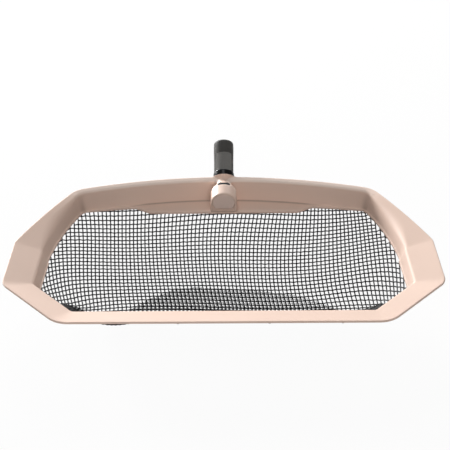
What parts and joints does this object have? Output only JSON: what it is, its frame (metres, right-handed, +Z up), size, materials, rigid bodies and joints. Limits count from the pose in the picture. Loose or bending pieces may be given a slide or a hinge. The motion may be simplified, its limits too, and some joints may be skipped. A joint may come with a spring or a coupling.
{
  "type": "leaf skimmer net",
  "caption": "Wide eight-sided pool leaf skimmer with a moulded frame, a sagging net and a tilted quick-lock pole insert on its rear ledge.",
  "frame": {"origin": "on the pole insert's axis, at the front end of the full round that guides the pole, 28 mm from the collar that the pole's end rests on", "axes": "+X across the scoop, +Y from its front edge to its rear edge and the pole, +Z up from the net to the rim; the pole insert's axis rises 33 degrees from +Y towards +Z"},
  "size_m": [0.5546, 0.3905, 0.1631],
  "materials": {
    "rose_plastic": "satin moulded polypropylene, opaque rose pink",
    "black_plastic": "glossy moulded plastic, black",
    "grey_pad": "matte ribbed grip rubber, grey",
    "net_thread": "knitted polyester thread, black",
    "net_binding": "sewn binding tape, black",
    "steel": "stainless steel"
  },
  "bodies": {
    "skimmer": {"scoop_frame": "rose_plastic", "hub_housing": "rose_plastic", "hub_cap": "rose_plastic", "hub_bottom_cover": "black_plastic", "hub_screws": "steel", "net": "net_thread", "net_hem": "net_binding", "net_retainer": "black_plastic", "retainer_screws": "steel", "insert_core": "black_plastic", "insert_collar": "black_plastic", "grip_pad": "grey_pad", "insert_end_plug": "black_plastic", "lock_clip": "steel", "key_spring": "steel"},
    "button": {"lock_button": "steel"},
    "key": {"release_key": "black_plastic", "key_ring": "steel"}
  },
  "joints": [
    {"name": "lock_button_press", "type": "slide", "parent": "skimmer", "child": "button", "axis": [0, -0.5446, 0.8387], "range_m": [0, 0.0046], "stiffness_N_per_m": 400, "springref_m": -0.003, "deforming": ["lock_clip"]},
    {"name": "release_key_press", "type": "slide", "parent": "skimmer", "child": "key", "axis": [0, 0, -1], "range_m": [0, 0.003], "stiffness_N_per_m": 400, "springref_m": -0.002, "deforming": ["key_spring"]}
  ]
}
